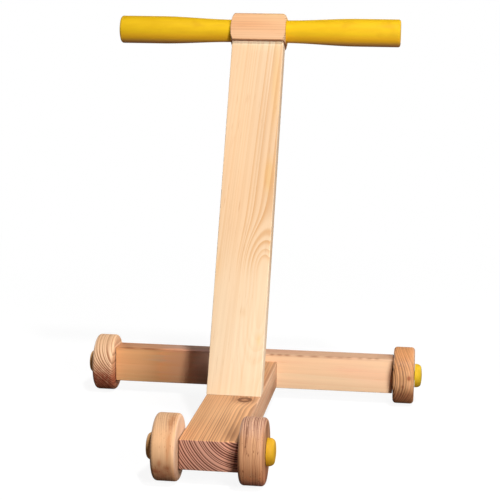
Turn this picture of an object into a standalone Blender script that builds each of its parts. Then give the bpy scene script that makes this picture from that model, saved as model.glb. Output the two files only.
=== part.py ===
"""Wooden baby push walker: a T-shaped chassis on four wheels, a leaning post and a turned handlebar.

Metres, +Z up. The walker stands on Z = 0 with its nose towards -Y, and Y = 0 lies midway between the
axles. Left and right are as seen from the nose: left is -X.
"""

import math

import bmesh
import bpy
from mathutils import Vector

# Chassis: a flat spine runs back from the nose and butts against a taller crossbar that hangs lower.
SPINE_LENGTH = 0.366
SPINE_WIDTH = 0.066
SPINE_HEIGHT = 0.034
CROSSBAR_LENGTH = 0.3724
CROSSBAR_HEIGHT = 0.0455
CROSSBAR_DEPTH = 0.032
CROSSBAR_DROP = 0.0018

# Post: a board a little wider than the spine. Its foot is cut to stand flat while it leans back.
POST_LENGTH = 0.4594
POST_WIDTH = 0.0665
POST_THICKNESS = 0.025
POST_SETBACK = 0.187
POST_LEAN = math.radians(23.5)

# Handlebar: turned from one square blank, which stays square in the middle as a block, rounder on top.
HANDLE_LENGTH = 0.365
BLOCK_WIDTH = 0.072
BLOCK_SIDE = 0.0375
BLOCK_TOP_ROUND = 0.005
BLOCK_FOOT_ROUND = 0.001
SHOULDER_LENGTH = 0.0085
NECK_DIAMETER = 0.029
GRIP_DIAMETER = 0.0354
GRIP_TAPER_LENGTH = 0.092
GRIP_END_ROUND = 0.003

# Wheels and the dowels that they run on.
WHEEL_DIAMETER = 0.0745
WHEEL_WIDTH = 0.0275
WHEEL_EDGE_ROUND = 0.0045
WHEEL_BORE_CHAMFER = 0.001
AXLE_DIAMETER = 0.012
AXLE_HEIGHT = 0.020
FRONT_AXLE_SETBACK = 0.017
STUB_AXLE_DEPTH = 0.045

# Hub caps: short domed rounds with a blind socket, glued on the axles' ends.
CAP_DIAMETER = 0.031
CAP_LENGTH = 0.0095
CAP_BROW_LENGTH = 0.0065
CAP_BROW_HEIGHT = 0.005
CAP_DOME = 0.001
CAP_SOCKET_DEPTH = 0.0065

# Glued dowels inside the three butt joints. A depth is how far a dowel reaches into that piece.
DOWEL_DIAMETER = 0.010
DOWEL_SPACING = 0.034
FOOT_DEPTH_IN_SPINE = 0.024
FOOT_DEPTH_IN_POST = 0.034
CROSSBAR_DEPTH_IN_SPINE = 0.036
CROSSBAR_DEPTH_IN_BAR = 0.024
HANDLE_DEPTH_IN_POST = 0.030
HANDLE_DEPTH_IN_BLOCK = 0.022

# Softened edges and clearances.
EDGE_ROUND = 0.001
DOWEL_CHAMFER = 0.001
GLUE_GAP = 0.0003
WHEEL_PLAY = 0.0004
WHEEL_SIDE_GAP = 0.0008
CAP_SIDE_GAP = 0.0006

# Finishes: a colour and a roughness.
CREAM_PINE = ((0.82, 0.60, 0.36), 0.50)
PINK_PINE = ((0.78, 0.51, 0.29), 0.55)
RED_PINE = ((0.62, 0.35, 0.17), 0.55)
BROWN_PINE = ((0.48, 0.26, 0.13), 0.60)
BARE_BEECH = ((0.70, 0.50, 0.32), 0.60)
YELLOW_PAINT = ((0.84, 0.50, 0.02), 0.40)

# Facets.
WHEEL_SIDES = 48
HANDLE_SIDES = 44
CAP_SIDES = 36
DOWEL_SIDES = 24
ARC_STEPS = 4
TAPER_STEPS = 8
EDGE_STEPS = 2
BLOCK_ROUND_STEPS = 4
SHARP_ANGLE = math.radians(35)
MERGE_DISTANCE = 1e-6

# Heights and stations along the walker, from the sizes above.
UNDERSIDE_Z = WHEEL_DIAMETER / 2 - AXLE_HEIGHT
AXLE_Z = WHEEL_DIAMETER / 2
SPINE_TOP_Z = UNDERSIDE_Z + SPINE_HEIGHT
WHEELBASE = SPINE_LENGTH + GLUE_GAP + CROSSBAR_DEPTH / 2 - FRONT_AXLE_SETBACK
FRONT_AXLE_Y = -WHEELBASE / 2
REAR_AXLE_Y = WHEELBASE / 2
NOSE_Y = FRONT_AXLE_Y - FRONT_AXLE_SETBACK
SPINE_REAR_Y = NOSE_Y + SPINE_LENGTH
HUB_REACH = WHEEL_SIDE_GAP + WHEEL_WIDTH + CAP_SIDE_GAP
AXLE_REACH = HUB_REACH + CAP_SOCKET_DEPTH - GLUE_GAP


def clear_scene():
    for old in list(bpy.data.objects):
        bpy.data.objects.remove(old)


def material(name, finish):
    colour, roughness = finish
    made = bpy.data.materials.new(name)
    made.use_nodes = True
    shader = made.node_tree.nodes["Principled BSDF"]
    shader.inputs["Base Color"].default_value = (*colour, 1)
    shader.inputs["Roughness"].default_value = roughness
    shader.inputs["Metallic"].default_value = 0
    return made


def add_piece(name, bm, materials, location=(0, 0, 0), direction=(1, 0, 0), parent=None):
    """Makes the bmesh an object at its place, with its own +X turned to the given direction."""
    bmesh.ops.remove_doubles(bm, verts=bm.verts, dist=MERGE_DISTANCE)
    bmesh.ops.recalc_face_normals(bm, faces=bm.faces)
    mesh = bpy.data.meshes.new(name)
    bm.to_mesh(mesh)
    bm.free()
    mesh.shade_smooth()
    mesh.set_sharp_from_angle(angle=SHARP_ANGLE)
    for one in materials:
        mesh.materials.append(one)
    piece = bpy.data.objects.new(name, mesh)
    bpy.context.collection.objects.link(piece)
    piece.parent = parent
    piece.location = location
    piece.rotation_mode = "QUATERNION"
    piece.rotation_quaternion = Vector((1, 0, 0)).rotation_difference(Vector(direction))
    return piece


def hide_cutter(cutter):
    cutter.hide_render = True
    cutter.display_type = "WIRE"
    return cutter


def cut(piece, cutter, operation="DIFFERENCE"):
    modifier = piece.modifiers.new(cutter.name, "BOOLEAN")
    modifier.operation = operation
    modifier.solver = "EXACT"
    modifier.object = cutter


def block_mesh(size, centre=(0, 0, 0)):
    bm = bmesh.new()
    bmesh.ops.create_cube(bm, size=1)
    bmesh.ops.scale(bm, vec=size, verts=bm.verts)
    bmesh.ops.translate(bm, vec=centre, verts=bm.verts)
    return bm


def soften(bm, edges, width=EDGE_ROUND, steps=EDGE_STEPS):
    bmesh.ops.bevel(
        bm, geom=edges, offset=width, segments=steps, profile=0.5, affect="EDGES", clamp_overlap=True
    )


def edges_longer_than(bm, length):
    return [edge for edge in bm.edges if edge.calc_length() > length]


def edges_clear_of(bm, axis, station):
    """The edges that don't lie in the plane where the given axis has this value."""
    return [
        edge
        for edge in bm.edges
        if not all(math.isclose(vert.co[axis], station, abs_tol=MERGE_DISTANCE) for vert in edge.verts)
    ]


def arc(centre, radii, start, end):
    """Points (x, r) of a quarter ellipse about a centre, between two angles in degrees from +x to +r."""
    angles = [math.radians(start + (end - start) * step / ARC_STEPS) for step in range(ARC_STEPS + 1)]
    return [(centre[0] + radii[0] * math.cos(a), centre[1] + radii[1] * math.sin(a)) for a in angles]


def turned_mesh(profile, sides, ring=False):
    """Spins a profile of points (x, r) about the X axis. A ring's profile is closed round its own bore."""
    bm = bmesh.new()
    verts = [bm.verts.new((x, 0, r)) for x, r in profile]
    edges = [bm.edges.new(pair) for pair in zip(verts, verts[1:])]
    if ring:
        edges.append(bm.edges.new((verts[-1], verts[0])))
    bmesh.ops.spin(
        bm, geom=verts + edges, cent=(0, 0, 0), axis=(1, 0, 0), angle=2 * math.pi, steps=sides, use_merge=True
    )
    return bm


def rod_mesh(diameter, start, end, chamfer=0):
    """A round rod along X from start to end, its ends chamfered where asked."""
    radius = diameter / 2
    profile = [(start, 0), (start, radius - chamfer), (start + chamfer, radius)]
    profile += [(end - chamfer, radius), (end, radius - chamfer), (end, 0)]
    return turned_mesh(profile, DOWEL_SIDES)


def dowel_joint(name, joint, direction, depth_behind, depth_ahead, pieces, parent=None):
    """A glued dowel across a joint, reaching back and ahead of it, and its hole in both pieces."""
    hole = rod_mesh(DOWEL_DIAMETER + 2 * GLUE_GAP, -depth_behind - GLUE_GAP, depth_ahead + GLUE_GAP)
    cutter = hide_cutter(add_piece(name + "_hole", hole, [], joint, direction, parent))
    for piece in pieces:
        cut(piece, cutter)
    dowel = rod_mesh(DOWEL_DIAMETER, -depth_behind, depth_ahead, DOWEL_CHAMFER)
    add_piece(name, dowel, [material(name, BARE_BEECH)], joint, direction, parent)


def make_spine():
    bm = block_mesh((SPINE_WIDTH, SPINE_LENGTH, SPINE_HEIGHT))
    soften(bm, edges_clear_of(bm, 1, SPINE_LENGTH / 2))
    centre = (0, NOSE_Y + SPINE_LENGTH / 2, UNDERSIDE_Z + SPINE_HEIGHT / 2)
    return add_piece("base_spine", bm, [material("base_spine", RED_PINE)], centre)


def make_crossbar():
    bm = block_mesh((CROSSBAR_LENGTH, CROSSBAR_DEPTH, CROSSBAR_HEIGHT))
    soften(bm, bm.edges[:])
    centre = (0, REAR_AXLE_Y, UNDERSIDE_Z - CROSSBAR_DROP + CROSSBAR_HEIGHT / 2)
    return add_piece("rear_crossbar", bm, [material("rear_crossbar", PINK_PINE)], centre)


def make_lean():
    """An empty on the post's front bottom edge. Its Z runs up the post and its Y through it."""
    lean = bpy.data.objects.new("post_lean", None)
    bpy.context.collection.objects.link(lean)
    lean.location = (0, NOSE_Y + POST_SETBACK, SPINE_TOP_Z + GLUE_GAP)
    lean.rotation_euler = (-POST_LEAN, 0, 0)
    return lean


def make_post(lean):
    foot_rise = POST_THICKNESS * math.tan(POST_LEAN)
    outline = [(0, 0), (POST_THICKNESS, foot_rise), (POST_THICKNESS, POST_LENGTH), (0, POST_LENGTH)]
    bm = bmesh.new()
    side = bm.faces.new([bm.verts.new((-POST_WIDTH / 2, y, z)) for y, z in outline])
    walls = bmesh.ops.extrude_face_region(bm, geom=[side])["geom"]
    far_side = [part for part in walls if isinstance(part, bmesh.types.BMVert)]
    bmesh.ops.translate(bm, vec=(POST_WIDTH, 0, 0), verts=far_side)
    soften(bm, edges_longer_than(bm, POST_LENGTH / 2))
    return add_piece("upright_post", bm, [material("upright_post", CREAM_PINE)], parent=lean)


def handle_radius(along):
    """The grip's radius at a distance out from the block: a neck that swells smoothly to the grip."""
    share = min(along / GRIP_TAPER_LENGTH, 1)
    return (NECK_DIAMETER + (GRIP_DIAMETER - NECK_DIAMETER) * share * share * (3 - 2 * share)) / 2


def make_handlebar(lean):
    """A lathe-turned envelope, cut down to the blank's square where the block keeps its flats."""
    half = HANDLE_LENGTH / 2
    grip_start = BLOCK_WIDTH / 2
    corner = BLOCK_SIDE / math.sqrt(2)
    rise = corner - NECK_DIAMETER / 2
    shoulder = arc((grip_start - SHOULDER_LENGTH, NECK_DIAMETER / 2), (SHOULDER_LENGTH, rise), 90, 0)
    taper = [GRIP_TAPER_LENGTH * step / TAPER_STEPS for step in range(1, TAPER_STEPS + 1)]
    grip = [(grip_start + along, handle_radius(along)) for along in taper]
    end_round = (GRIP_END_ROUND, GRIP_END_ROUND)
    end = arc((half - GRIP_END_ROUND, GRIP_DIAMETER / 2 - GRIP_END_ROUND), end_round, 90, 0)
    right = shoulder + grip + end + [(half, 0)]
    profile = [(-x, r) for x, r in reversed(right)] + right
    paint = material("handlebar_paint", YELLOW_PAINT)
    bare = material("handlebar_block", PINK_PINE)
    centre = (0, POST_THICKNESS / 2, POST_LENGTH + GLUE_GAP + BLOCK_SIDE / 2)
    handlebar = add_piece("handlebar", turned_mesh(profile, HANDLE_SIDES), [paint, bare], centre, parent=lean)
    blank = block_mesh((2 * HANDLE_LENGTH, BLOCK_SIDE, BLOCK_SIDE))
    long_edges = edges_longer_than(blank, HANDLE_LENGTH)
    top_edges = [edge for edge in long_edges if edge.verts[0].co.z > 0]
    foot_edges = [edge for edge in long_edges if edge.verts[0].co.z < 0]
    soften(blank, top_edges, BLOCK_TOP_ROUND, BLOCK_ROUND_STEPS)
    soften(blank, foot_edges, BLOCK_FOOT_ROUND)
    for face in blank.faces:
        face.material_index = 1
    cutter = add_piece("handlebar_blank", blank, [paint, bare], centre, parent=lean)
    cut(handlebar, hide_cutter(cutter), "INTERSECT")
    return handlebar


def make_wheel(name, inner_x, axle_y):
    """A disc on its axle: its origin is on the axle's line, at the middle of the disc."""
    radius = WHEEL_DIAMETER / 2
    bore = AXLE_DIAMETER / 2 + WHEEL_PLAY
    half = WHEEL_WIDTH / 2
    rim = half - WHEEL_EDGE_ROUND
    rounds = (WHEEL_EDGE_ROUND, WHEEL_EDGE_ROUND)
    profile = arc((-rim, radius - WHEEL_EDGE_ROUND), rounds, 180, 90)
    profile += arc((rim, radius - WHEEL_EDGE_ROUND), rounds, 90, 0)
    profile += [(half, bore + WHEEL_BORE_CHAMFER), (half - WHEEL_BORE_CHAMFER, bore)]
    profile += [(WHEEL_BORE_CHAMFER - half, bore), (-half, bore + WHEEL_BORE_CHAMFER)]
    side = math.copysign(1, inner_x)
    centre = (inner_x + side * (WHEEL_SIDE_GAP + half), axle_y, AXLE_Z)
    disc = turned_mesh(profile, WHEEL_SIDES, ring=True)
    add_piece(name, disc, [material(name, BROWN_PINE)], centre, (side, 0, 0))


def make_cap(name, inner_x, axle_y):
    """A cap on an axle's end: +X points outwards, and the blind socket opens towards the wheel."""
    radius = CAP_DIAMETER / 2
    socket = AXLE_DIAMETER / 2 + GLUE_GAP
    brow = CAP_LENGTH - CAP_DOME
    flat = radius - CAP_BROW_HEIGHT
    profile = [(CAP_SOCKET_DEPTH, 0), (CAP_SOCKET_DEPTH, socket), (0, socket), (0, radius)]
    profile += arc((brow - CAP_BROW_LENGTH, flat), (CAP_BROW_LENGTH, CAP_BROW_HEIGHT), 90, 0)
    dome = [step / ARC_STEPS for step in range(ARC_STEPS - 1, -1, -1)]
    profile += [(brow + CAP_DOME * (1 - share * share), flat * share) for share in dome]
    side = math.copysign(1, inner_x)
    seat = (inner_x + side * HUB_REACH, axle_y, AXLE_Z)
    add_piece(name, turned_mesh(profile, CAP_SIDES), [material(name, YELLOW_PAINT)], seat, (side, 0, 0))


def make_axle(name, start, end, axle_y, beam):
    """A dowel along X between two places, and the hole that it is glued into."""
    hole = rod_mesh(AXLE_DIAMETER + 2 * GLUE_GAP, start - GLUE_GAP, end + GLUE_GAP)
    place = (0, axle_y, AXLE_Z)
    cut(beam, hide_cutter(add_piece(name + "_hole", hole, [], place)))
    rod = rod_mesh(AXLE_DIAMETER, start, end, DOWEL_CHAMFER)
    add_piece(name, rod, [material(name, BARE_BEECH)], place)


def make_running_gear(spine, crossbar):
    spine_side = SPINE_WIDTH / 2
    bar_end = CROSSBAR_LENGTH / 2
    front_tip = spine_side + AXLE_REACH
    rear_tip = bar_end + AXLE_REACH
    rear_root = bar_end - STUB_AXLE_DEPTH
    make_axle("front_axle", -front_tip, front_tip, FRONT_AXLE_Y, spine)
    make_axle("rear_axle_left", -rear_tip, -rear_root, REAR_AXLE_Y, crossbar)
    make_axle("rear_axle_right", rear_root, rear_tip, REAR_AXLE_Y, crossbar)
    for place, inner_x, axle_y in (
        ("front_left", -spine_side, FRONT_AXLE_Y),
        ("front_right", spine_side, FRONT_AXLE_Y),
        ("rear_left", -bar_end, REAR_AXLE_Y),
        ("rear_right", bar_end, REAR_AXLE_Y),
    ):
        make_wheel("wheel_" + place, inner_x, axle_y)
        make_cap("hub_cap_" + place, inner_x, axle_y)


def make_dowels(spine, crossbar, post, handlebar, lean):
    mid_foot = (POST_THICKNESS / 2, POST_THICKNESS / 2 * math.tan(POST_LEAN))
    spine_mid_z = UNDERSIDE_Z + SPINE_HEIGHT / 2
    up_post = (0, 0, 1)
    for side, x in (("left", -DOWEL_SPACING / 2), ("right", DOWEL_SPACING / 2)):
        dowel_joint(
            "post_dowel_" + side,
            (x, *mid_foot),
            up_post,
            FOOT_DEPTH_IN_SPINE,
            FOOT_DEPTH_IN_POST,
            (spine, post),
            lean,
        )
        dowel_joint(
            "crossbar_dowel_" + side,
            (x, SPINE_REAR_Y, spine_mid_z),
            (0, 1, 0),
            CROSSBAR_DEPTH_IN_SPINE,
            CROSSBAR_DEPTH_IN_BAR,
            (spine, crossbar),
        )
        dowel_joint(
            "handle_dowel_" + side,
            (x, POST_THICKNESS / 2, POST_LENGTH),
            up_post,
            HANDLE_DEPTH_IN_POST,
            HANDLE_DEPTH_IN_BLOCK,
            (post, handlebar),
            lean,
        )


clear_scene()
spine = make_spine()
crossbar = make_crossbar()
lean = make_lean()
post = make_post(lean)
handlebar = make_handlebar(lean)
make_running_gear(spine, crossbar)
make_dowels(spine, crossbar, post, handlebar, lean)
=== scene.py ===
import math

import bmesh
import bpy
from mathutils import Euler, Matrix, Vector


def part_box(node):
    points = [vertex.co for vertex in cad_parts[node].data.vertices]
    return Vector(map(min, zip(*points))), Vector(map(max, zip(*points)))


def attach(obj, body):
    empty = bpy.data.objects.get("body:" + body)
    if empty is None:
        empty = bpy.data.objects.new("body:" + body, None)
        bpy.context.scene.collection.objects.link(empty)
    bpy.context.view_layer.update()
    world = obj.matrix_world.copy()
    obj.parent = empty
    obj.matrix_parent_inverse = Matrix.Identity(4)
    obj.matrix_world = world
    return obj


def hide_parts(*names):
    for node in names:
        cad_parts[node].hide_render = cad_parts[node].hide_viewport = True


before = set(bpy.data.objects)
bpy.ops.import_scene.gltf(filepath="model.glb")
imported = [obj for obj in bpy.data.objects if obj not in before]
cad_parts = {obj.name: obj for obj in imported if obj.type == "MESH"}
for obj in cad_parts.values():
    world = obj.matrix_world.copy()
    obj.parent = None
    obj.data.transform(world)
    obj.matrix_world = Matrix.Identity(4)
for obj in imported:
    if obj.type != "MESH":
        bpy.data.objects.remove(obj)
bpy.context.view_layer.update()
print("frame loaded:", len(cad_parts), "nodes")


# Small tools for node trees

colourInputs = (0, 6, 7)  # a Mix node's factor and its two colours
colourOutput = 2
noiseMiddle = 0.5


def plug(tree, socket, value):
    if isinstance(value, bpy.types.NodeSocket):
        tree.links.new(value, socket)
    else:
        socket.default_value = value


def addNode(tree, kind, inputs=None, **settings):
    node = tree.nodes.new("ShaderNode" + kind)
    for name, value in settings.items():
        setattr(node, name, value)
    for key, value in (inputs or {}).items():
        plug(tree, node.inputs[key], value)
    return node


def calc(tree, operation, *values, clamp=False):
    inputs = dict(enumerate(values))
    return addNode(tree, "Math", inputs, operation=operation, use_clamp=clamp).outputs[0]


def calcVector(tree, operation, *values):
    node = addNode(tree, "VectorMath", dict(enumerate(values)), operation=operation)
    return node.outputs["Value" if operation in ("LENGTH", "DOT_PRODUCT") else "Vector"]


def step(tree, value, low, high, start=0.0, end=1.0):  # a smooth rise or fall from start to end
    ends = {"Value": value, "From Min": low, "From Max": high, "To Min": start, "To Max": end}
    return addNode(tree, "MapRange", ends, interpolation_type="SMOOTHSTEP").outputs["Result"]


def mixColour(tree, factor, first, second, blend="MIX"):
    inputs = dict(zip(colourInputs, (factor, first, second)))
    return addNode(tree, "Mix", inputs, data_type="RGBA", blend_type=blend).outputs[colourOutput]


def grainNoise(tree, vector, stretch, seed, detail=2.0):  # stretch is in waves per metre on each axis
    drawn = calcVector(tree, "MULTIPLY", vector, stretch)
    inputs = {"Vector": drawn, "W": seed, "Scale": 1.0, "Detail": detail}
    return addNode(tree, "TexNoise", inputs, noise_dimensions="4D").outputs


def mapped(tree, vector, origin, turn):  # the same place, in axes set at origin and turned
    inputs = {"Vector": vector, "Location": origin, "Rotation": turn}
    return addNode(tree, "Mapping", inputs, vector_type="TEXTURE").outputs[0]


def newGroup(name, inputs, outputs):
    group = bpy.data.node_groups.new(name, "ShaderNodeTree")
    for socketName, kind, default in inputs:
        socket = group.interface.new_socket(socketName, in_out="INPUT", socket_type="NodeSocket" + kind)
        socket.default_value = default
    for socketName, kind in outputs:
        group.interface.new_socket(socketName, in_out="OUTPUT", socket_type="NodeSocket" + kind)
    return group, group.nodes.new("NodeGroupInput").outputs, group.nodes.new("NodeGroupOutput").inputs


def useGroup(tree, group, inputs):
    return addNode(tree, "Group", inputs, node_tree=group).outputs


# Effects that several finishes share, with the fibre along Z

ringSettings = {
    "sway": (16, 16, 2.6),
    "yearPace": 0.31, "yearReach": 2.2,  # fat years and lean years
    "lateEnd": 0.9, "lateReach": 1.5, "dropStart": 0.93, "leastTone": 0.5,
}


def makeGrowthRings():
    values = ringSettings
    group, given, made = newGroup(
        "growthRings",
        [("Vector", "Vector", (0, 0, 0)), ("Bend", "Float", 0), ("Ring Width", "Float", 0.0028),
         ("Wander", "Float", 0.002), ("Late Share", "Float", 0.4), ("Seed", "Float", 0)],
        [("Late", "Float")],
    )
    slow = grainNoise(group, given["Vector"], values["sway"], given["Seed"])["Color"]
    sway = calcVector(group, "SUBTRACT", slow, (noiseMiddle,) * 3)
    width = addNode(group, "CombineXYZ", {"X": given["Wander"], "Y": given["Wander"], "Z": 0.0}).outputs[0]
    swayed = calcVector(group, "MULTIPLY_ADD", sway, width, given["Vector"])
    flat = calcVector(group, "MULTIPLY", swayed, (1, 1, 0))
    radius = calc(group, "ADD", calcVector(group, "LENGTH", flat), given["Bend"])
    turns = calc(group, "DIVIDE", radius, given["Ring Width"])
    pace = calc(group, "MULTIPLY_ADD", turns, values["yearPace"], given["Seed"])
    years = addNode(group, "TexNoise", {"W": pace, "Scale": 1.0}, noise_dimensions="1D").outputs[0]
    turns = calc(group, "MULTIPLY_ADD", years, values["yearReach"], turns)
    part = calc(group, "FRACT", turns)
    year = calc(group, "FLOOR", turns)
    tone = addNode(group, "TexWhiteNoise", {"W": year}, noise_dimensions="1D").outputs[0]
    share = calc(group, "MULTIPLY", given["Late Share"], values["lateReach"])
    start = calc(group, "SUBTRACT", values["lateEnd"], share)
    rise = step(group, part, start, values["lateEnd"])
    late = calc(group, "MULTIPLY", rise, step(group, part, values["dropStart"], 1.0, 1.0, 0.0))
    strength = calc(group, "MULTIPLY_ADD", tone, 1 - values["leastTone"], values["leastTone"])
    plug(group, made["Late"], calc(group, "MULTIPLY", late, strength))
    return group


streakSettings = {  # stretch and detail of each noise
    "Fine": ((1300, 1300, 14), 3.0), "Broad": ((230, 230, 4), 2.0), "Fleck": ((620, 620, 36), 1.0),
    "Cloud": ((22, 22, 6), 1.0),
}
fleckEdge = (0.64, 0.76)


def makeFibreStreaks():
    group, given, made = newGroup(
        "fibreStreaks",
        [("Vector", "Vector", (0, 0, 0)), ("Seed", "Float", 0)],
        [(name, "Float") for name in streakSettings],
    )
    for name, (stretch, detail) in streakSettings.items():
        noise = grainNoise(group, given["Vector"], stretch, given["Seed"], detail)[0]
        if name == "Fleck":  # only the peaks make flecks
            noise = step(group, noise, *fleckEdge)
        plug(group, made[name], noise)
    return group


def makeSwelling():  # a soft bump round a centre, as in the rings round a knot
    group, given, made = newGroup(
        "grainSwelling",
        [("Vector", "Vector", (0, 0, 0)), ("Centre", "Vector", (0, 0, 0)), ("Spread", "Vector", (1, 1, 1)),
         ("Amount", "Float", 0.002)],
        [("Bend", "Float")],
    )
    away = calcVector(group, "SUBTRACT", given["Vector"], given["Centre"])
    away = calcVector(group, "DIVIDE", away, given["Spread"])
    squared = calcVector(group, "DOT_PRODUCT", away, away)
    near = calc(group, "EXPONENT", calc(group, "MULTIPLY", squared, -1.0))
    plug(group, made["Bend"], calc(group, "MULTIPLY", near, given["Amount"]))
    return group


knotSettings = {  # heart, rim and halo are steps: low, high, start and end
    "ragged": (380, 380, 380), "raggedSeed": 3.0, "raggedReach": 0.9,
    "heart": (0.1, 0.75, 0.2, 1.0), "rim": (0.85, 1.05, 1.0, 0.0), "halo": (0.8, 2.2, 1.0, 0.0),
}


def makeKnot():
    values = knotSettings
    group, given, made = newGroup(
        "knotCore",
        [("Vector", "Vector", (0, 0, 0)), ("Centre", "Vector", (0, 0, 0)), ("Size", "Vector", (1, 1, 1))],
        [("Core", "Float"), ("Halo", "Float")],
    )
    away = calcVector(group, "SUBTRACT", given["Vector"], given["Centre"])
    away = calcVector(group, "LENGTH", calcVector(group, "DIVIDE", away, given["Size"]))
    noise = grainNoise(group, given["Vector"], values["ragged"], values["raggedSeed"])[0]
    ragged = calc(group, "SUBTRACT", noise, noiseMiddle)
    reach = calc(group, "MULTIPLY_ADD", ragged, values["raggedReach"], away)
    core = calc(group, "MULTIPLY", step(group, reach, *values["heart"]), step(group, reach, *values["rim"]))
    plug(group, made["Core"], core)
    plug(group, made["Halo"], step(group, reach, *values["halo"]))
    return group


tintSettings = {
    "cloudEdge": (0.35, 0.68), "cutEdge": (0.08, 0.5),
    "fineShare": 0.6, "broadShare": 0.9, "greyMiddle": 0.75,
    "haloShare": 0.35, "knotColour": (0.14, 0.042, 0.013, 1),
    # the rounded edges are lightened: partly rubbed wood, partly a painted highlight
    "rubAndHighlightEdge": (0.4, 0.65, 0.0, 0.25), "rubAndHighlightColour": (0.9, 0.78, 0.62, 1),
    "roughness": 0.42, "roughFine": 0.18, "roughLine": -0.1, "roughEnd": 0.14, "roughEdge": -0.08,
    "heightFine": 0.5, "heightLine": 0.5, "heightFleck": -0.4, "heightKnot": -0.6,
}


def makeWoodTint():
    values = tintSettings
    group, given, made = newGroup(
        "woodTint",
        [("Late", "Float", 0), ("Fine", "Float", 0.5), ("Broad", "Float", 0.5), ("Fleck", "Float", 0),
         ("Cloud", "Float", 0.5), ("End", "Float", 0), ("Core", "Float", 0), ("Halo", "Float", 0),
         ("Edge", "Float", 0), ("Early Colour", "Color", (1, 1, 1, 1)),
         ("Late Colour", "Color", (0.5, 0.3, 0.2, 1)), ("Cloud Colour", "Color", (1, 1, 1, 1)),
         ("End Early", "Color", (0.7, 0.6, 0.5, 1)), ("End Late", "Color", (0.4, 0.3, 0.2, 1)),
         ("Line Strength", "Float", 1), ("Streak Strength", "Float", 0.2), ("Fleck Strength", "Float", 0.2)],
        [("Colour", "Color"), ("Roughness", "Float"), ("Height", "Float")],
    )
    line = calc(group, "MULTIPLY", given["Late"], given["Line Strength"], clamp=True)
    clouded = step(group, given["Cloud"], *values["cloudEdge"])
    pale = mixColour(group, clouded, given["Early Colour"], given["Cloud Colour"])
    colour = mixColour(group, line, pale, given["Late Colour"])
    grey = calc(group, "MULTIPLY", given["Broad"], values["broadShare"])
    grey = calc(group, "MULTIPLY_ADD", given["Fine"], values["fineShare"], grey)
    grey = calc(group, "SUBTRACT", grey, values["greyMiddle"])
    streak = calc(group, "MULTIPLY_ADD", grey, given["Streak Strength"], 1.0)
    shade = addNode(group, "CombineXYZ", {"X": streak, "Y": streak, "Z": streak}).outputs[0]
    colour = mixColour(group, 1.0, colour, shade, "MULTIPLY")
    cutLine = step(group, given["Late"], *values["cutEdge"])
    cut = mixColour(group, cutLine, given["End Early"], given["End Late"])
    colour = mixColour(group, given["End"], colour, cut)
    dash = calc(group, "MULTIPLY", given["Fleck"], given["Fleck Strength"])
    colour = mixColour(group, dash, colour, given["Late Colour"], "MULTIPLY")
    halo = calc(group, "MULTIPLY", given["Halo"], values["haloShare"])
    colour = mixColour(group, halo, colour, given["Late Colour"], "MULTIPLY")
    colour = mixColour(group, given["Core"], colour, values["knotColour"])
    # rounded edges lightened, partly rubbed wood and partly a painted highlight
    rubAndHighlight = calc(group, "MULTIPLY", given["Edge"], step(group, given["Broad"], *values["rubAndHighlightEdge"]))
    plug(group, made["Colour"], mixColour(group, rubAndHighlight, colour, values["rubAndHighlightColour"], "SOFT_LIGHT"))
    rough = calc(group, "MULTIPLY_ADD", given["Fine"], values["roughFine"], values["roughness"])
    rough = calc(group, "MULTIPLY_ADD", line, values["roughLine"], rough)
    rough = calc(group, "MULTIPLY_ADD", given["End"], values["roughEnd"], rough)
    plug(group, made["Roughness"], calc(group, "MULTIPLY_ADD", given["Edge"], values["roughEdge"], rough))
    height = calc(group, "MULTIPLY", line, values["heightLine"])
    height = calc(group, "MULTIPLY_ADD", given["Fine"], values["heightFine"], height)
    height = calc(group, "MULTIPLY_ADD", given["Fleck"], values["heightFleck"], height)
    plug(group, made["Height"], calc(group, "MULTIPLY_ADD", given["Core"], values["heightKnot"], height))
    return group


growthRings = makeGrowthRings()
fibreStreaks = makeFibreStreaks()
grainSwelling = makeSwelling()
knotCore = makeKnot()
woodTint = makeWoodTint()
print("wood effects ready:", len(bpy.data.node_groups), "groups")


# Pine finish
# In a look a swelling is (centre, spread, amount), and each tinted patch adds the tint that it multiplies
# by: some patches are stained spots in the wood, others are painted light and painted shade.
# A knot is (centre, size).
# A fade is (axis, start, end, least): lines grow from least to full along the axis.

pineSettings = {
    "endFacing": (0.55, 0.92),  # how squarely a face cuts the fibre where end grain starts and is full
    "markEdge": (0.3, 0.6, 0.45, 1.0), "gloss": 0.3, "reliefDepth": 0.0004,
}
tintColours = {"Early Colour": "early", "Late Colour": "late", "Cloud Colour": "cloud",
               "End Early": "endEarly", "End Late": "endLate"}


def newMaterial(name):
    material = bpy.data.materials.new(name)
    material.use_nodes = True
    return material, material.node_tree, material.node_tree.nodes["Principled BSDF"].inputs


def turnInDegrees(angles):
    return Euler([math.radians(angle) for angle in angles])


def swellAt(tree, vector, centre, spread, amount):
    inputs = {"Vector": vector, "Centre": centre, "Spread": spread, "Amount": amount}
    return useGroup(tree, grainSwelling, inputs)["Bend"]


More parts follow.
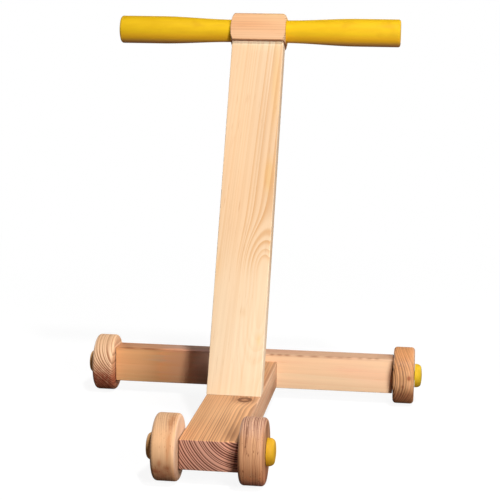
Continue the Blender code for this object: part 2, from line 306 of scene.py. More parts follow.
def pineFinish(name, look, origin, turn):
    # origin and turn place the piece's own axes; pith and fibre place the tree's middle in them
    values = pineSettings
    material, tree, shader = newMaterial(name)
    coords = addNode(tree, "TexCoord").outputs
    inBoard = mapped(tree, coords["Object"], origin, turn)
    fibreTurn = turnInDegrees(look["fibre"])
    inTree = mapped(tree, inBoard, look["pith"], fibreTurn)
    bend, core, halo = 0.0, 0.0, 0.0
    for centre, spread, amount in look.get("swellings", ()):
        bend = calc(tree, "ADD", bend, swellAt(tree, inBoard, centre, spread, amount))
    for centre, size in look.get("knots", ()):
        knot = useGroup(tree, knotCore, {"Vector": inBoard, "Centre": centre, "Size": size})
        core = calc(tree, "MAXIMUM", core, knot["Core"])
        halo = calc(tree, "MAXIMUM", halo, knot["Halo"])
    late = useGroup(tree, growthRings, {
        "Vector": inTree, "Bend": bend, "Ring Width": look["ringWidth"], "Wander": look["wander"],
        "Late Share": look["lateShare"], "Seed": look["seed"]})["Late"]
    for axis, start, end, least in look.get("fades", ()):
        along = calcVector(tree, "DOT_PRODUCT", inBoard, axis)
        late = calc(tree, "MULTIPLY", late, step(tree, along, start, end, least, 1.0))
    streaks = useGroup(tree, fibreStreaks, {"Vector": inTree, "Seed": look["seed"]})
    fibre = turn.to_matrix() @ fibreTurn.to_matrix() @ Vector((0, 0, 1))
    facing = calc(tree, "ABSOLUTE", calcVector(tree, "DOT_PRODUCT", coords["Normal"], fibre))
    inputs = {socket: (*look[key], 1) for socket, key in tintColours.items()}
    inputs |= {key: streaks[key] for key in streakSettings}
    inputs |= {"Late": late, "End": step(tree, facing, *values["endFacing"]), "Core": core, "Halo": halo,
               "Edge": addNode(tree, "Attribute", attribute_name="roundedEdge").outputs["Fac"],
               "Line Strength": look["line"], "Streak Strength": look["streak"],
               "Fleck Strength": look["fleck"]}
    tint = useGroup(tree, woodTint, inputs)
    colour = tint["Colour"]
    # tinted patches multiply the colour: stained spots in the wood, and painted light and painted shade
    ragged = step(tree, streaks["Broad"], *values["markEdge"])
    for centre, spread, amount, markTint in look.get("stainsAndPaintedLight", ()):
        near = calc(tree, "MULTIPLY", swellAt(tree, inBoard, centre, spread, amount), ragged, clamp=True)
        colour = mixColour(tree, near, colour, (*markTint, 1), "MULTIPLY")
    plug(tree, shader["Base Color"], colour)
    plug(tree, shader["Roughness"], tint["Roughness"])
    shader["Specular IOR Level"].default_value = values["gloss"]
    relief = {"Height": tint["Height"], "Strength": look["relief"], "Distance": values["reliefDepth"]}
    plug(tree, shader["Normal"], addNode(tree, "Bump", relief).outputs[0])
    return material


# Small tools for meshes, in metres

mergeDistance = 1e-6
tolerance = 1e-5
sharpAngle = math.radians(32)
boardEdge = {"width": 0.001, "segments": 4}  # sanded corners of the three boards


def addObject(name, data):
    thing = bpy.data.objects.new(name, data)
    bpy.context.scene.collection.objects.link(thing)
    return thing


def toMesh(bm, name):
    mesh = bpy.data.meshes.new(name)
    bm.to_mesh(mesh)
    bm.free()
    return mesh


def finishPiece(bm, name, seat, materials, body, nodes):
    bmesh.ops.remove_doubles(bm, verts=bm.verts, dist=mergeDistance)
    bmesh.ops.transform(bm, matrix=seat, verts=bm.verts)
    bmesh.ops.recalc_face_normals(bm, faces=bm.faces)
    mesh = toMesh(bm, name)
    for material in materials:
        mesh.materials.append(material)
    mesh.shade_smooth()
    mesh.set_sharp_from_angle(angle=sharpAngle)
    piece = addObject(name, mesh)
    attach(piece, body)
    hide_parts(*nodes)
    print("made", name, len(mesh.polygons), "faces")


def roundEdges(bm, edges, width, segments):
    edgeLayer = bm.faces.layers.float.get("roundedEdge") or bm.faces.layers.float.new("roundedEdge")
    made = bmesh.ops.bevel(bm, geom=edges, offset=width, segments=segments, profile=0.5, affect="EDGES",
                           material=-1, clamp_overlap=True)
    for face in made["faces"]:
        face[edgeLayer] = 1.0


def sawOff(bm, point, outwards):  # cuts away what lies beyond a plane and closes the cut
    everything = bm.verts[:] + bm.edges[:] + bm.faces[:]
    cut = bmesh.ops.bisect_plane(bm, geom=everything, plane_co=point, plane_no=outwards, clear_outer=True)
    rim = [part for part in cut["geom_cut"] if isinstance(part, bmesh.types.BMEdge)]
    bmesh.ops.edgeloop_fill(bm, edges=rim)


def cubeBetween(low, high):
    bm = bmesh.new()
    bmesh.ops.create_cube(bm, size=1)
    bmesh.ops.scale(bm, vec=high - low, verts=bm.verts)
    bmesh.ops.translate(bm, vec=(low + high) / 2, verts=bm.verts)
    return bm


def arc(centre, radii, start, end, steps):  # points (x, r) of a quarter ellipse, angles in degrees
    angles = [math.radians(start + (end - start) * i / steps) for i in range(steps + 1)]
    return [(centre[0] + radii[0] * math.cos(a), centre[1] + radii[1] * math.sin(a)) for a in angles]


def spun(profile, steps, closed=False):  # turns (x, r) points about the X axis
    bm = bmesh.new()
    verts = [bm.verts.new((x, 0, r)) for x, r in profile]
    edges = [bm.edges.new(pair) for pair in zip(verts, verts[1:])]
    if closed:
        edges.append(bm.edges.new((verts[-1], verts[0])))
    bmesh.ops.spin(bm, geom=verts + edges, cent=(0, 0, 0), axis=(1, 0, 0), angle=2 * math.pi, steps=steps,
                   use_merge=True)
    return bm


# The leaning frame of the post and handlebar, read from the post's longest edge

def longestEdge(mesh):
    ends = [[mesh.vertices[i].co for i in edge.vertices] for edge in mesh.edges]
    return max((first - second for first, second in ends), key=lambda run: run.length)


postRun = longestEdge(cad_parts["upright_post"].data)
postLean = math.atan2(abs(postRun.y), abs(postRun.z))
leanTurn = Euler((-postLean, 0, 0))
leanMatrix = leanTurn.to_matrix().to_4x4()
uprightMatrix = leanMatrix.inverted()


def leaningBox(node):
    points = [uprightMatrix @ vert.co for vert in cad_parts[node].data.vertices]
    return (Vector([min(point[i] for point in points) for i in range(3)]),
            Vector([max(point[i] for point in points) for i in range(3)]))


# Spine: heartwood plank, pith up and to the right of its nose; board axes start at the nose's top edge

spineStreaks = (0.0165, 0.0215, 0.0265, 0.0305)  # places of the dark streaks behind the post
spineLook = {
    "pith": (0.034, 0, 0.02), "fibre": (90, 0, 0), "ringWidth": 0.0027, "wander": 0.0035, "lateShare": 0.5,
    "seed": 2.0, "early": (0.7, 0.385, 0.19), "late": (0.26, 0.1, 0.038), "cloud": (0.63, 0.325, 0.153),
    "endEarly": (0.55, 0.272, 0.184), "endLate": (0.135, 0.042, 0.026),
    "line": 0.85, "streak": 0.35, "fleck": 0.2, "relief": 0.35,
    "fades": [((1, -0.5, 0), -0.07, -0.036, 0.6)],
    "swellings": [((0.016, 0.172, 0.0), (0.013, 0.024, 0.03), 0.0045)],
    "knots": [((0.016, 0.1715, 0.0), (0.0092, 0.0115, 0.02))],
    # the first entry is painted light: it lightens the spine's right side face
    "stainsAndPaintedLight": [((0.033, 0.2, -0.017), (0.0035, 0.4, 0.05), 1.5, (1.17, 1.3, 1.62)),
               ((0.034, 0.2, -0.011), (0.006, 0.4, 0.0014), 1.3, (0.9, 0.76, 0.72)),
               ((0.034, 0.2, -0.024), (0.006, 0.4, 0.0018), 1.3, (0.94, 0.78, 0.76)),
               # painted shadow of the right front wheel on the spine's top
               ((0.022, 0.03, 0.0), (0.012, 0.02, 0.006), 0.9, (0.84, 0.8, 0.8)),
               # painted light on the right part of the nose, which lies in the right front wheel's shadow
               ((0.029, 0, -0.017), (0.013, 0.003, 0.03), 1.5, (1.35, 1.28, 1.22))]
    + [((x, 0.27, 0), (0.0012, 0.08, 0.01), 1.4, (0.76, 0.6, 0.54)) for x in spineStreaks],
}
spineLow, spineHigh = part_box("base_spine")
spineOrigin = Vector((0, spineLow.y, spineHigh.z))
spineShape = cubeBetween(spineLow, spineHigh)
rearLimit = spineHigh.y - tolerance  # the rear end stays square against the crossbar
spineEdges = [edge for edge in spineShape.edges if min(vert.co.y for vert in edge.verts) < rearLimit]
roundEdges(spineShape, spineEdges, **boardEdge)
spineWood = pineFinish("heartPine", spineLook, spineOrigin, Euler())
finishPiece(spineShape, "spinePlank", Matrix(), [spineWood], "chassis", ["base_spine"])


# Crossbar: board axes start at its middle

barDashes = [  # place and length of the dark flecks along the top front edge
    (0.026, 0.003), (0.036, 0.004), (0.046, 0.004), (0.0635, 0.005), (0.082, 0.007), (0.102, 0.0065),
    (0.117, 0.006), (0.128, 0.004), (0.143, 0.0035), (0.155, 0.004), (0.165, 0.003), (-0.168, 0.009),
    (-0.14, 0.013)]
crossbarLook = {
    "pith": (0, -0.06, 0.012), "fibre": (0, 90.6, 0), "ringWidth": 0.0046, "wander": 0.007, "lateShare": 0.5,
    "seed": 5.0, "early": (0.85, 0.58, 0.355), "late": (0.79, 0.45, 0.25), "cloud": (0.87, 0.54, 0.34),
    "endEarly": (0.55, 0.3, 0.2), "endLate": (0.28, 0.12, 0.07),
    "line": 0.45, "streak": 0.18, "fleck": 0.2, "relief": 0.2,
    # the first entry makes the left end browner and darker: partly the board's own tone, partly painted
    # shade of the post's soft shadow
    "stainsAndPaintedLight": [((-0.165, 0, 0), (0.045, 0.1, 0.1), 2.3, (1.0, 0.8, 0.58)),
               # painted light on the front face at the edge of the post's shadow
               ((-0.1, -0.016, 0), (0.02, 0.01, 0.1), 2.3, (1.36, 1.14, 1.0)),
               ((-0.12, 0.002, 0.0228), (0.06, 0.012, 0.002), 2.3, (0.86, 0.94, 1.1)),
               # painted shade colour: a bluer tint in the post's shadow on the front face
               ((-0.068, -0.016, 0), (0.016, 0.01, 0.1), 2.3, (0.98, 0.95, 1.2)),
               ((0, 0, 0.0228), (0.9, 0.9, 0.0022), 1.0, (0.74, 0.66, 0.68)),
               ((0.13, -0.016, 0.006), (0.03, 0.02, 0.003), 0.6, (1, 0.9, 0.92)),
               ((0.05, -0.016, 0.0135), (0.03, 0.02, 0.002), 1.0, (1, 0.92, 0.93)),
               # painted shadow of the right rear wheel on the bar's right end
               ((0.188, -0.016, -0.002), (0.006, 0.03, 0.03), 1.0, (0.55, 0.45, 0.42))]
    + [((x, -0.0145, 0.0228), (length, 0.004, 0.0014), 1.3, (0.62, 0.51, 0.45)) for x, length in barDashes],
}
barLow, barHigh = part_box("rear_crossbar")
barShape = cubeBetween(barLow, barHigh)
roundEdges(barShape, barShape.edges[:], **boardEdge)
barWood = pineFinish("pinkPine", crossbarLook, (barLow + barHigh) / 2, Euler())
finishPiece(barShape, "crossbarRail", Matrix(), [barWood], "chassis", ["rear_crossbar"])


# Post: board axes start at the middle of its foot's front edge, Y through it and Z up it

postLook = {
    "pith": (0.0176, 0.045, 0), "fibre": (0, 3.5, 0), "ringWidth": 0.003, "wander": 0.003, "lateShare": 0.5,
    "seed": 8.0, "early": (0.728, 0.498, 0.3), "late": (0.6, 0.315, 0.13), "cloud": (0.718, 0.468, 0.27),
    "endEarly": (0.55, 0.36, 0.22), "endLate": (0.3, 0.15, 0.08),
    "line": 1.0, "streak": 0.2, "fleck": 0.3, "relief": 0.2,
    "fades": [((0, 0, 1), 0.14, 0.18, 0.2), ((0, 0, -1), -0.3, -0.21, 0.75),
              ((1, 0, 0), -0.02, 0.014, 0.38)],
    "swellings": [((0.027, 0.0, 0.167), (0.025, 0.03, 0.035), -0.0122),
                  ((0.027, 0.0, 0.122), (0.025, 0.03, 0.035), -0.0098),
                  ((0.027, 0.0, 0.077), (0.025, 0.03, 0.035), -0.0098)],
    "stainsAndPaintedLight": [((0, 0, 0.03), (0.06, 0.1, 0.16), 1.0, (1.02, 1.14, 1.27)),
               # painted light on the top of the front face, where the block's shadow falls
               ((0, 0, 0.4594), (0.2, 0.05, 0.0031), 2.3, (1.36, 1.58, 1.85)),
               ((0.008, 0, 0.452), (0.024, 0.03, 0.006), 1.3, (1.0, 1.08, 1.1)),
               ((0.0268, 0, 0.4025), (0.0042, 0.03, 0.05), 2.0, (1, 0.95, 0.78)),
               ((0.028, 0, 0.36), (0.03, 0.05, 0.2), 1.3, (0.85, 0.86, 0.87)),
               ((0.0336, 0, 0.25), (0.0008, 0.1, 1), 2.0, (1.12, 1.2, 1.32)),
               ((0.0195, 0, 0.4), (0.0022, 0.03, 0.06), 1.0, (1.03, 1.06, 1.12)),
               ((0.0252, 0, 0.28), (0.005, 0.03, 0.019), 2.0, (1, 0.925, 0.7)),
               ((0.005, 0, 0.103), (0.004, 0.02, 0.006), 0.8, (0.93, 0.86, 0.78)),
               ((0.026, 0, 0.069), (0.003, 0.02, 0.008), 0.9, (1, 0.9, 0.68)),
               ((-0.031, 0, 0.158), (0.005, 0.03, 0.02), 0.8, (1, 0.9, 0.75))],
}
postLow, postHigh = leaningBox("upright_post")
postShape = cubeBetween(postLow, postHigh)
footPoint = uprightMatrix @ Vector((0, 0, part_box("upright_post")[0].z))
sawOff(postShape, footPoint, uprightMatrix.to_3x3() @ Vector((0, 0, -1)))
halfHeight = (postHigh - postLow).z / 2
roundEdges(postShape, [edge for edge in postShape.edges if edge.calc_length() > halfHeight], **boardEdge)
postOrigin = leanMatrix @ Vector((0, postLow.y, postLow.z))
postWood = pineFinish("creamPine", postLook, postOrigin, leanTurn)
finishPiece(postShape, "uprightBoard", leanMatrix, [postWood], "chassis", ["upright_post"])


# Handlebar: turned, then planed to the square of its blank in the middle

handleSettings = {
    "blockWidth": 0.072, "blockSide": 0.0375, "topRound": 0.0055, "footRound": 0.001, "shoulder": 0.0085,
    "shoulderSlant": 0.5, "bareShoulder": 0.0081, "neck": 0.0145, "grip": 0.0177, "taper": 0.092,
    "endRound": 0.003, "turnSteps": 112, "arcSteps": 9, "taperSteps": 20, "flats": 20,
    "paint": (0.69, 0.42, 0.007), "paintShade": (0.56, 0.3, 0.005),
    # painted light and painted shade on the grips' lower side, a lighter orange band over a dark brown
    # bottom: bottom and top from the grip's axis, and colour
    "paintedUnderLight": [(-0.009, -0.002, (0.77, 0.4, 0.013)), (-0.0165, -0.0095, (0.36, 0.17, 0.05))],
}
blockLook = {
    "pith": (0, -0.05, 0.09), "fibre": (0, 90, 0), "ringWidth": 0.0027, "wander": 0.004, "lateShare": 0.4,
    "seed": 11.0, "early": (0.67, 0.385, 0.195), "late": (0.52, 0.245, 0.107), "cloud": (0.67, 0.365, 0.182),
    "endEarly": (0.72, 0.46, 0.26), "endLate": (0.5, 0.26, 0.13),
    "line": 0.5, "streak": 0.2, "fleck": 0.15, "relief": 0.2,
    # the first entry is painted shade: it darkens the block's underside
    "stainsAndPaintedLight": [((0, 0, -0.019), (0.2, 0.2, 0.0003), 2.2, (0.4, 0.3, 0.29)),
               ((-0.016, -0.019, 0.0025), (0.03, 0.01, 0.0045), 1.3, (0.94, 0.88, 0.83)),
               ((0, -0.019, -0.014), (0.06, 0.01, 0.007), 1.3, (0.98, 1.06, 1.17)),
               ((0.022, -0.019, 0.016), (0.02, 0.01, 0.006), 1.3, (0.98, 1.08, 1.06))],
}
paintSettings = {  # brushEdge, patchEdge and roughness are steps: low, high, start and end
    "brush": (34, 150, 150), "brushSeed": 1.0, "brushDetail": 3.0, "brushEdge": (0.3, 0.7, 0.35, 0.0),
    "patch": (38, 38, 38), "patchSeed": 4.0, "patchEdge": (0.5, 0.75, 0.0, 0.7),
    "roughness": (0.25, 0.75, 0.5, 0.64), "gloss": 0.11, "relief": 0.12, "reliefDepth": 0.0006,
}


def makePaint(name, colour, shade, paintedUnderLight=()):
    values = paintSettings
    material, tree, shader = newMaterial(name)
    where = addNode(tree, "TexCoord").outputs["Object"]
    brush = grainNoise(tree, where, values["brush"], values["brushSeed"], values["brushDetail"])[0]
    patch = grainNoise(tree, where, values["patch"], values["patchSeed"])[0]
    mottled = mixColour(tree, step(tree, brush, *values["brushEdge"]), (*colour, 1), (*shade, 1))
    mottled = mixColour(tree, step(tree, patch, *values["patchEdge"]), mottled, (*shade, 1))
    height = addNode(tree, "SeparateXYZ", {0: where}).outputs["Z"]
    # bands of painted light and painted shade, by height
    for bottom, top, tint in paintedUnderLight:
        mottled = mixColour(tree, step(tree, height, bottom, top, 1.0, 0.0), mottled, (*tint, 1))
    plug(tree, shader["Base Color"], mottled)
    plug(tree, shader["Roughness"], step(tree, brush, *values["roughness"]))
    shader["Specular IOR Level"].default_value = values["gloss"]
    relief = {"Height": brush, "Strength": values["relief"], "Distance": values["reliefDepth"]}
    plug(tree, shader["Normal"], addNode(tree, "Bump", relief).outputs[0])
    return material


def handleProfile(half):  # (x, r) points of the right half, from the block's corners out to the grip's end
    sizes = handleSettings
    gripStart, corner = sizes["blockWidth"] / 2, sizes["blockSide"] / math.sqrt(2)
    shoulder, neck, endRound = sizes["shoulder"], sizes["neck"], sizes["endRound"]
    points = arc((gripStart - shoulder, neck), (shoulder, corner - neck), 90, 0, sizes["arcSteps"])
    for i in range(1, sizes["taperSteps"] + 1):
        share = i / sizes["taperSteps"]
        swell = (sizes["grip"] - neck) * share * share * (3 - 2 * share)
        points.append((gripStart + sizes["taper"] * share, neck + swell))
    points += arc((half - endRound, sizes["grip"] - endRound), (endRound,) * 2, 90, 0, sizes["arcSteps"])
    return points + [(half, 0)]


def slantShoulders(bm):  # the shoulders run longer above than below
    gripStart, slant = handleSettings["blockWidth"] / 2, handleSettings["shoulderSlant"]
    for vert in bm.verts:
        inside = gripStart - abs(vert.co.x)
        if inside > 0:
            upwards = vert.co.z / vert.co.yz.length
            vert.co.x = math.copysign(gripStart - inside * (1 + slant * upwards), vert.co.x)


def planeBlock(bm):  # flats all round, on the square's sides and rounded corners
    sizes = handleSettings
    for i in range(sizes["flats"]):
        angle = 2 * math.pi * i / sizes["flats"]
        outwards = Vector((0, math.cos(angle), math.sin(angle)))
        rounding = sizes["topRound"] if outwards.z > 0 else sizes["footRound"]
        depth = (sizes["blockSide"] / 2 - rounding) * (abs(outwards.y) + abs(outwards.z)) + rounding
        sawOff(bm, outwards * depth, outwards)


def makeHandlebar():
    sizes = handleSettings
    low, high = leaningBox("handlebar")
    centre = (low + high) / 2
    middle = leanMatrix @ centre
    # the grips' painted light and shade bands, placed from the grip's axis
    underTints = [(middle.z + bottom, middle.z + top, tint) for bottom, top, tint in sizes["paintedUnderLight"]]
    paint = makePaint("gripPaint", sizes["paint"], sizes["paintShade"], underTints)
    wood = pineFinish("blockPine", blockLook, middle, leanTurn)
    right = handleProfile((high.x - low.x) / 2)
    bm = spun([(-x, r) for x, r in reversed(right)] + right, sizes["turnSteps"])
    bmesh.ops.remove_doubles(bm, verts=bm.verts, dist=mergeDistance)
    bmesh.ops.recalc_face_normals(bm, faces=bm.faces)
    slantShoulders(bm)
    planeBlock(bm)
    bareEnd = sizes["blockWidth"] / 2 - sizes["shoulder"] + sizes["bareShoulder"]
    for face in bm.faces:  # the paint stops on the shoulders
        if abs(face.calc_center_median().x) < bareEnd:
            face.material_index = 1
    seat = leanMatrix @ Matrix.Translation(centre)
    finishPiece(bm, "turnedHandlebar", seat, [paint, wood], "chassis", ["handlebar"])


makeHandlebar()


# Wheels: a look's axes start at the wheel's middle, X along the axle

wheelSettings = {"edgeRound": 0.0045, "bore": 0.0064, "boreChamfer": 0.001, "turnSteps": 128, "arcSteps": 8}
plainWheel = {
    "pith": (0.05, 0, 0), "fibre": (0, 0, 0), "ringWidth": 0.0022, "wander": 0.004, "lateShare": 0.45,
    "seed": 14.0, "early": (0.68, 0.40, 0.205), "late": (0.45, 0.21, 0.09), "cloud": (0.62, 0.34, 0.165),
    "endEarly": (0.6, 0.36, 0.21), "endLate": (0.35, 0.16, 0.08),
    "line": 0.6, "streak": 0.3, "fleck": 0.3, "relief": 0.3,
}
wheelLooks = {
    "front_left": {
        **plainWheel, "pith": (0.12, 0, 0), "wander": 0.003, "line": 0.35, "fleck": 0.7,
        "early": (0.715, 0.432, 0.237), "late": (0.54, 0.268, 0.122),
        "endEarly": (0.61, 0.365, 0.2), "endLate": (0.48, 0.27, 0.143),
        # the first entry darkens the lower half: partly brown stained patches, partly painted shade
        "stainsAndPaintedLight": [((-0.002, -0.03, -0.026), (0.018, 0.04, 0.015), 1.0, (0.72, 0.5, 0.48)),
                   ((0.007, -0.014, 0.0347), (0.004, 0.013, 0.012), 1.5, (0.76, 0.62, 0.52)),
                   ((0.0065, -0.036, 0.01), (0.0025, 0.02, 0.024), 1.5, (0.86, 0.72, 0.62)),
                   ((-0.003, -0.036, -0.008), (0.003, 0.02, 0.004), 1.5, (0.8, 0.64, 0.58)),
                   ((0.005, -0.035, -0.013), (0.003, 0.02, 0.003), 1.5, (0.76, 0.58, 0.52)),
                   ((-0.008, -0.033, -0.018), (0.0035, 0.02, 0.003), 1.5, (0.76, 0.58, 0.52)),
                   # the last entry is painted light on the inner face, which faces the spine
                   ((0.0138, 0, 0), (0.0012, 0.1, 0.1), 2.0, (0.95, 1.08, 1.38))],
    },
    "front_right": {
        **plainWheel, "seed": 17.0, "pith": (0.3, 0, 0), "ringWidth": 0.0019, "wander": 0.0016, "line": 0.75,
        "fleck": 0.9,
        "early": (0.5, 0.255, 0.128), "late": (0.23, 0.082, 0.034), "cloud": (0.425, 0.193, 0.092),
        "endEarly": (0.6, 0.36, 0.24), "endLate": (0.27, 0.12, 0.075),
        "swellings": [((-0.004, -0.03, 0.012), (0.004, 0.03, 0.006), 0.0011),
                      ((0.006, -0.03, 0.0), (0.004, 0.03, 0.007), -0.0011),
                      ((0.0, -0.025, 0.026), (0.005, 0.03, 0.005), 0.0012),
                      ((0.008, -0.025, 0.022), (0.004, 0.03, 0.006), 0.001),
                      ((-0.007, -0.03, -0.01), (0.004, 0.03, 0.008), 0.001)],
        "stainsAndPaintedLight": [((0, 0, 0.036), (0.03, 0.04, 0.016), 1.0, (0.88, 0.84, 0.8)),
                   ((0, -0.02, -0.026), (0.03, 0.04, 0.018), 1.0, (1.2, 0.91, 0.76)),
                   # painted shade low on the wheel's front
                   ((0, -0.022, -0.031), (0.03, 0.03, 0.006), 1.5, (0.82, 0.74, 0.82)),
                   ((0.004, -0.03, 0.016), (0.0022, 0.03, 0.012), 1.0, (1.1, 1.16, 1.1)),
                   ((-0.0052, -0.028, 0.024), (0.0013, 0.03, 0.014), 1.4, (0.5, 0.4, 0.36))],
    },
    "rear_left": {
        **plainWheel, "seed": 21.0, "pith": (0.3, 0, 0.03), "fibre": (90, 0, 0), "ringWidth": 0.0038,
        "wander": 0.004, "line": 1.0, "lateShare": 0.42,
        "early": (0.92, 0.61, 0.37), "late": (0.45, 0.2, 0.092), "cloud": (0.89, 0.57, 0.335),
        "endEarly": (0.92, 0.61, 0.37), "endLate": (0.45, 0.2, 0.092),
        "fades": [((0, 0, -1), -0.03, 0.01, 0.66)],
        "swellings": [((0, 0, -0.03), (1, 1, 0.03), 0.036)],
        # the first entry darkens the lower part red-brown: partly darker wood, partly painted shade
        "stainsAndPaintedLight": [((0, -0.03, -0.022), (0.04, 0.05, 0.022), 1.3, (0.6, 0.27, 0.23)),
                   ((0, -0.015, 0.034), (0.04, 0.03, 0.012), 1.3, (0.9, 0.86, 0.83))],
    },
    "rear_right": {
        **plainWheel, "seed": 23.0, "ringWidth": 0.0029, "wander": 0.003, "line": 1.0, "lateShare": 0.67,
        "early": (0.72, 0.36, 0.155), "late": (0.08, 0.022, 0.008), "cloud": (0.63, 0.29, 0.12),
        "endEarly": (0.66, 0.3, 0.12), "endLate": (0.52, 0.23, 0.09),
        "fades": [((-1, 0, 0), -0.01, 0.0, 0.35)],
        "stainsAndPaintedLight": [((0, -0.03, 0.021), (0.03, 0.03, 0.008), 1.5, (0.9, 0.83, 0.75)),
                   ((0, -0.03, -0.0045), (0.03, 0.03, 0.006), 1.5, (1.14, 1.2, 1.35)),
                   ((0, -0.03, -0.024), (0.03, 0.03, 0.01), 1.5, (0.74, 0.6, 0.62)),
                   ((0.0074, -0.036, 0.005), (0.0026, 0.01, 0.0028), 1.6, (0.6, 0.4, 0.34)),
                   ((-0.0008, -0.036, -0.0068), (0.0017, 0.01, 0.002), 1.6, (0.6, 0.4, 0.34))],
    },
}


def makeWheel(place, look):
    sizes = wheelSettings
    node = "wheel_" + place
    low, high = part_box(node)
    centre, half, radius = (low + high) / 2, (high.x - low.x) / 2, (high.z - low.z) / 2
    edgeRound, bore, chamfer = sizes["edgeRound"], sizes["bore"], sizes["boreChamfer"]
    rim, top = half - edgeRound, radius - edgeRound
    profile = arc((-rim, top), (edgeRound,) * 2, 180, 90, sizes["arcSteps"])
    profile += arc((rim, top), (edgeRound,) * 2, 90, 0, sizes["arcSteps"])
    profile += [(half, bore + chamfer), (half - chamfer, bore)]
    profile += [(chamfer - half, bore), (-half, bore + chamfer)]
    wood = pineFinish("wheelPine_" + place, look, centre, Euler())
    bm = spun(profile, sizes["turnSteps"], closed=True)
    finishPiece(bm, "turnedWheel_" + place, Matrix.Translation(centre), [wood], place + "_wheel",
                [node])


# Hub caps

capSettings = {"browLength": 0.0065, "browHeight": 0.005, "dome": 0.001, "socket": 0.0063,
               "socketDepth": 0.0065, "turnSteps": 72, "arcSteps": 10}
# one yellow paint in four tones: the browner, darker left caps are painted shade, and the front right cap is
# painted darker than the rear right, also painted shade
capColours = {  # paint and its shade; the left caps are a browner tan
    "front_left": ((0.74, 0.395, 0.15), (0.64, 0.32, 0.12)),
    "front_right": ((0.51, 0.28, 0.014), (0.44, 0.222, 0.011)),
    "rear_left": ((0.78, 0.415, 0.15), (0.68, 0.335, 0.12)),
    "rear_right": ((0.64, 0.42, 0.02), (0.56, 0.34, 0.014)),
}


def makeCap(place):
    sizes = capSettings
    node = "hub_cap_" + place
    low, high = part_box(node)
    length, radius = high.x - low.x, (high.z - low.z) / 2
    brow, flat = length - sizes["dome"], radius - sizes["browHeight"]
    socket, depth = sizes["socket"], sizes["socketDepth"]
    profile = [(depth, 0), (depth, socket), (0, socket), (0, radius)]
    profile += arc((brow - sizes["browLength"], flat), (sizes["browLength"], sizes["browHeight"]), 90, 0,
                   sizes["arcSteps"])
    shares = [i / sizes["arcSteps"] for i in range(sizes["arcSteps"] - 1, -1, -1)]
    profile += [(brow + sizes["dome"] * (1 - share * share), flat * share) for share in shares]
    onRight = low.x > 0
    seat = Matrix.Translation((low.x if onRight else high.x, (low.y + high.y) / 2, (low.z + high.z) / 2))
    if not onRight:
        seat = seat @ Matrix.Rotation(math.pi, 4, "Z")
    paint = makePaint("capPaint_" + place, *capColours[place])
    bm = spun(profile, sizes["turnSteps"])
    finishPiece(bm, "hubCap_" + place, seat, [paint], "chassis", [node])


for place, look in wheelLooks.items():
    makeWheel(place, look)
    makeCap(place)


# Axles and dowels keep their solids and get bare beech

dowelLook = {**plainWheel, "pith": (0, 0.02, 0.03), "fibre": (0, 90, 0), "seed": 26.0, "line": 0.4,
             "early": (0.66, 0.45, 0.27), "late": (0.5, 0.3, 0.16)}
beech = pineFinish("bareBeech", dowelLook, Vector(), Euler())
for name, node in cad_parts.items():
    if "dowel" in name or "axle" in name:
        node.data.materials.clear()
        node.data.materials.append(beech)
print("axles and dowels finished")


# Stage: a pale floor that fades to white, soft key lights from the front right, camera as in the photograph

white = (1, 1, 1, 1)
stageSettings = {
    "floorSize": 8.0, "floorColour": (0.12, 0.12, 0.12), "floorRoughness": 0.9, "glow": 0.9,
    "bounceColour": (0.085, 0.07, 0.062), "fadeStart": 0.45, "fadeEnd": 1.6,
    "fillColour": (1, 0.97, 0.94), "fillStrength": 0.06,
}
lightSettings = {  # azimuth turns from the nose towards the right wheels; size is width, height
    "highKey": {"azimuth": 31, "height": 62, "distance": 2.3, "size": (0.12, 0.34), "power": 43},
    "lowKey": {"azimuth": 32, "height": 20, "distance": 1.1, "size": (0.3, 0.3), "power": 6.2},
    "sideKey": {"azimuth": 34, "height": 5, "distance": 1.3, "size": (0.4, 0.5), "power": 6.8},
    "backLeft": {"azimuth": 235, "height": 12, "distance": 2.4, "size": (1.2, 0.8), "power": 22},
    "backRight": {"azimuth": 130, "height": 12, "distance": 2.4, "size": (1.2, 0.8), "power": 22},
    "gripFill": {"azimuth": -10, "height": -15, "distance": 1.2, "size": (0.5, 0.2), "power": 0.06,
                 "aim": (0, 0.18, 0.49), "spread": 30},
}
plainLight = {"aim": (0, 0, 0.2), "spread": 180}
cameraSettings = {"place": (0.2287, -1.6377, 0.49945), "turn": 7.397, "down": 9.322, "roll": 0.825,
                  "focalPixels": 1400, "imagePixels": 500, "sensorWidth": 36}


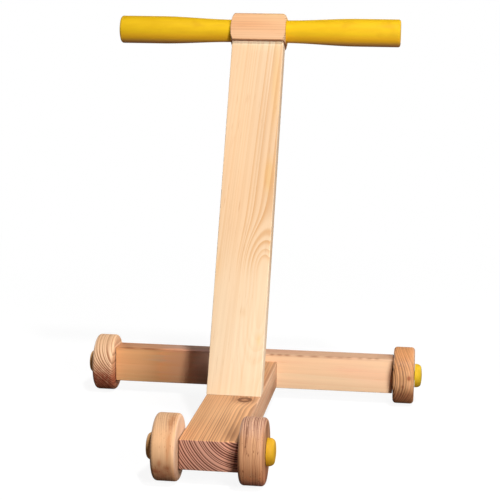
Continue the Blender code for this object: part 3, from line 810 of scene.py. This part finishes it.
def makeStage():
    values = stageSettings
    bm = bmesh.new()
    bmesh.ops.create_grid(bm, x_segments=1, y_segments=1, size=values["floorSize"])
    floor = addObject("floor", toMesh(bm, "floor"))
    material, tree, shader = newMaterial("paleFloor")
    shader["Base Color"].default_value = (*values["floorColour"], 1)
    shader["Roughness"].default_value = values["floorRoughness"]
    shader["Specular IOR Level"].default_value = 0.0
    shader["Emission Color"].default_value = white
    shader["Emission Strength"].default_value = values["glow"]
    near = tree.nodes["Principled BSDF"].outputs[0]
    reach = calcVector(tree, "LENGTH", addNode(tree, "TexCoord").outputs["Object"])
    far = addNode(tree, "Emission", {"Color": white, "Strength": 1.0}).outputs[0]
    fade = step(tree, reach, values["fadeStart"], values["fadeEnd"])
    pale = addNode(tree, "MixShader", {0: fade, 1: near, 2: far}).outputs[0]
    dull = addNode(tree, "BsdfDiffuse", {"Color": (*values["bounceColour"], 1)}).outputs[0]
    seen = addNode(tree, "LightPath").outputs["Is Camera Ray"]
    mixed = addNode(tree, "MixShader", {0: seen, 1: dull, 2: pale}).outputs[0]
    plug(tree, tree.nodes["Material Output"].inputs["Surface"], mixed)
    floor.data.materials.append(material)


def makeWorld():
    world = bpy.data.worlds.new("studio")
    world.use_nodes = True
    tree = world.node_tree
    fill = tree.nodes["Background"]
    fill.inputs["Color"].default_value = (*stageSettings["fillColour"], 1)
    fill.inputs["Strength"].default_value = stageSettings["fillStrength"]
    backdrop = addNode(tree, "Background", {"Color": white, "Strength": 1.0}).outputs[0]
    seen = addNode(tree, "LightPath").outputs["Is Camera Ray"]
    mixed = addNode(tree, "MixShader", {0: seen, 1: fill.outputs[0], 2: backdrop}).outputs[0]
    plug(tree, tree.nodes["World Output"].inputs["Surface"], mixed)
    bpy.context.scene.world = world


def makeLight(name, settings):
    values = {**plainLight, **settings}
    data = bpy.data.lights.new(name, "AREA")
    data.shape = "ELLIPSE"
    data.size, data.size_y = values["size"]
    data.energy = values["power"]
    data.spread = math.radians(values["spread"])
    light = addObject(name, data)
    aim = Vector(values["aim"])
    around = Matrix.Rotation(math.radians(values["azimuth"]), 3, "Z")
    upwards = Matrix.Rotation(math.radians(-values["height"]), 3, "X")
    light.location = aim + around @ upwards @ Vector((0, -values["distance"], 0))
    light.rotation_euler = (aim - light.location).to_track_quat("-Z", "Y").to_euler()
    light.visible_camera = False


def makeCamera():
    values = cameraSettings
    data = bpy.data.cameras.new("photoCamera")
    data.sensor_width = values["sensorWidth"]
    data.lens = values["focalPixels"] / values["imagePixels"] * data.sensor_width
    camera = addObject("photoCamera", data)
    turn = Matrix.Rotation(math.radians(values["turn"]), 4, "Z")
    tilt = Matrix.Rotation(math.radians(90 - values["down"]), 4, "X")
    roll = Matrix.Rotation(math.radians(values["roll"]), 4, "Z")
    camera.matrix_world = Matrix.Translation(values["place"]) @ (turn @ tilt) @ roll
    bpy.context.scene.camera = camera


makeStage()
makeWorld()
for name, settings in lightSettings.items():
    makeLight(name, settings)
makeCamera()
bpy.context.scene.view_settings.view_transform = "Standard"
print("stage, lights and camera set")
